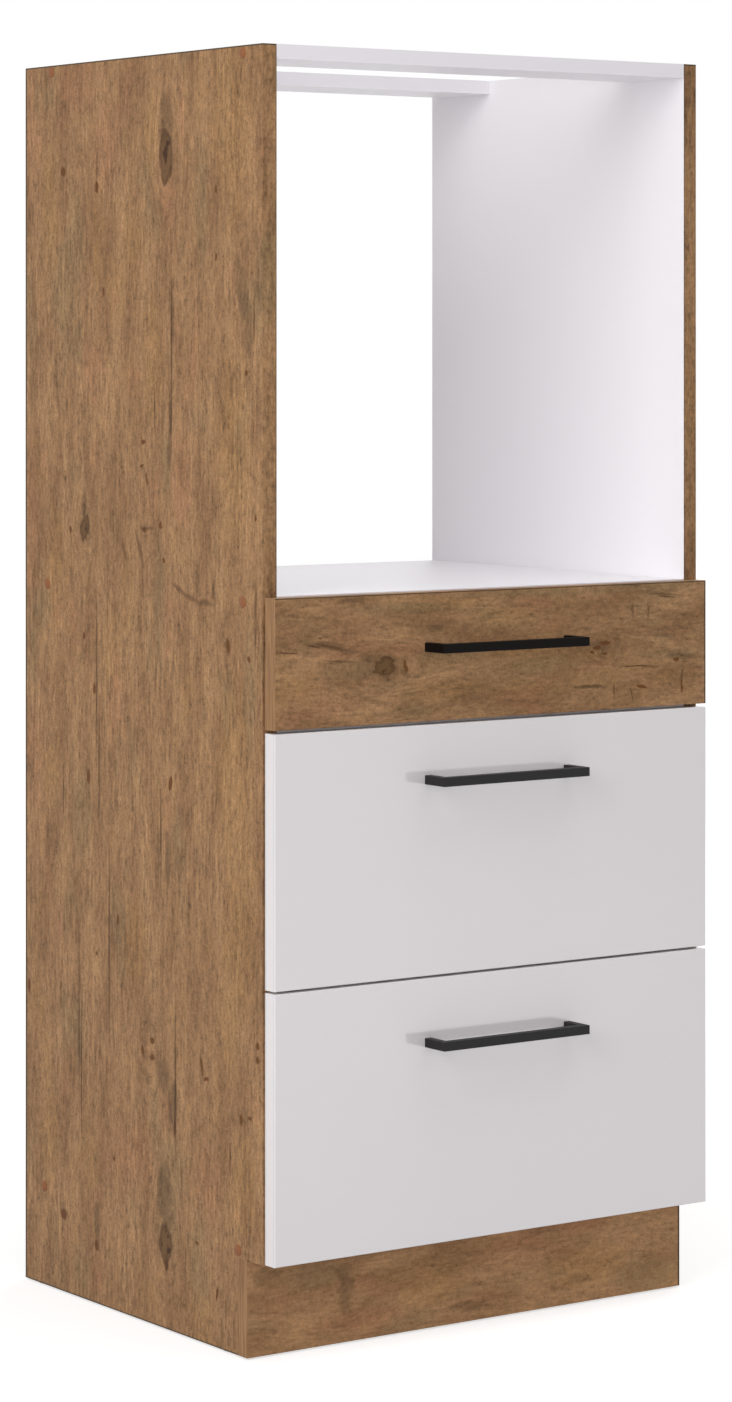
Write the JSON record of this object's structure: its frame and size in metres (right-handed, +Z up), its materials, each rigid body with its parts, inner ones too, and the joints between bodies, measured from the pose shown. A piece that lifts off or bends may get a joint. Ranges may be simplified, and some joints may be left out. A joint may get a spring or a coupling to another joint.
{
  "type": "microwave cabinet",
  "caption": "Tall kitchen cabinet with an open microwave niche over a stack of drawers on telescopic slides, bar handles and a recessed plinth.",
  "frame": {"origin": "on the floor, in the middle of the whole outline with the drawers closed, handles included", "axes": "+X to the cabinet's right as seen from the front, +Y to the back, +Z up"},
  "size_m": [0.605, 0.5584, 1.417],
  "materials": {
    "oak_board": "melamine-faced board, rustic oak decor outside and white inside",
    "white_board": "melamine-faced board, satin white",
    "gloss_white": "fibreboard with a high gloss white film",
    "hardboard": "hardboard, white lacquer on the inner side and brown outside",
    "beech": "fluted beech dowel",
    "zinc_steel": "zinc plated",
    "black_metal": "matt black powder coat",
    "brown_plastic": "satin brown",
    "white_plastic": "satin white",
    "clear_rubber": "translucent soft bumper"
  },
  "bodies": {
    "carcass": {"side_panel_left": "oak_board", "side_panel_right": "oak_board", "bottom_panel": "white_board", "niche_shelf": "white_board", "drawer_divider_rail": "white_board", "top_rail_front": "white_board", "top_rail_rear": "white_board", "back_panel": "hardboard", "back_panel_nails": "zinc_steel", "plinth_board": "oak_board", "plinth_brackets": "white_plastic", "plinth_bracket_screws": "zinc_steel", "floor_glides": "white_plastic", "confirmat_screws": "zinc_steel", "screw_cover_caps": "brown_plastic", "dowels": "beech", "slide_cabinet_screws": "zinc_steel", "bumper_pads": "clear_rubber", "top_drawer_slide_cabinet_members": "zinc_steel", "middle_drawer_slide_cabinet_members": "zinc_steel", "bottom_drawer_slide_cabinet_members": "zinc_steel"},
    "top_drawer": {"top_drawer_front": "oak_board", "top_drawer_handle": "black_metal", "top_drawer_handle_screws": "zinc_steel", "top_drawer_box_side_left": "white_board", "top_drawer_box_side_right": "white_board", "top_drawer_box_front": "white_board", "top_drawer_box_back": "white_board", "top_drawer_box_bottom": "hardboard", "top_drawer_box_screws": "zinc_steel", "top_drawer_slide_screws": "zinc_steel", "top_drawer_slide_drawer_members": "zinc_steel"},
    "top_drawer_slide_middle": {"top_drawer_slide_intermediate_members": "zinc_steel", "top_drawer_slide_ball_strips": "zinc_steel"},
    "middle_drawer": {"middle_drawer_front": "gloss_white", "middle_drawer_handle": "black_metal", "middle_drawer_handle_screws": "zinc_steel", "middle_drawer_box_side_left": "white_board", "middle_drawer_box_side_right": "white_board", "middle_drawer_box_front": "white_board", "middle_drawer_box_back": "white_board", "middle_drawer_box_bottom": "hardboard", "middle_drawer_box_screws": "zinc_steel", "middle_drawer_slide_screws": "zinc_steel", "middle_drawer_slide_drawer_members": "zinc_steel"},
    "middle_drawer_slide_middle": {"middle_drawer_slide_intermediate_members": "zinc_steel", "middle_drawer_slide_ball_strips": "zinc_steel"},
    "bottom_drawer": {"bottom_drawer_front": "gloss_white", "bottom_drawer_handle": "black_metal", "bottom_drawer_handle_screws": "zinc_steel", "bottom_drawer_box_side_left": "white_board", "bottom_drawer_box_side_right": "white_board", "bottom_drawer_box_front": "white_board", "bottom_drawer_box_back": "white_board", "bottom_drawer_box_bottom": "hardboard", "bottom_drawer_box_screws": "zinc_steel", "bottom_drawer_slide_screws": "zinc_steel", "bottom_drawer_slide_drawer_members": "zinc_steel"},
    "bottom_drawer_slide_middle": {"bottom_drawer_slide_intermediate_members": "zinc_steel", "bottom_drawer_slide_ball_strips": "zinc_steel"}
  },
  "joints": [
    {"name": "top_drawer_slide", "type": "slide", "parent": "carcass", "child": "top_drawer", "axis": [0, -1, 0], "range_m": [0, 0.45]},
    {"name": "middle_drawer_slide", "type": "slide", "parent": "carcass", "child": "middle_drawer", "axis": [0, -1, 0], "range_m": [0, 0.45]},
    {"name": "bottom_drawer_slide", "type": "slide", "parent": "carcass", "child": "bottom_drawer", "axis": [0, -1, 0], "range_m": [0, 0.45]},
    {"name": "top_drawer_slide_middle_slide", "type": "slide", "parent": "carcass", "child": "top_drawer_slide_middle", "axis": [0, -1, 0], "range_m": [0, 0.225]},
    {"name": "middle_drawer_slide_middle_slide", "type": "slide", "parent": "carcass", "child": "middle_drawer_slide_middle", "axis": [0, -1, 0], "range_m": [0, 0.225]},
    {"name": "bottom_drawer_slide_middle_slide", "type": "slide", "parent": "carcass", "child": "bottom_drawer_slide_middle", "axis": [0, -1, 0], "range_m": [0, 0.225]}
  ],
  "couplings": [
    {"joint": "top_drawer_slide_middle_slide", "follows": "top_drawer_slide", "ratio": 0.5},
    {"joint": "middle_drawer_slide_middle_slide", "follows": "middle_drawer_slide", "ratio": 0.5},
    {"joint": "bottom_drawer_slide_middle_slide", "follows": "bottom_drawer_slide", "ratio": 0.5}
  ]
}
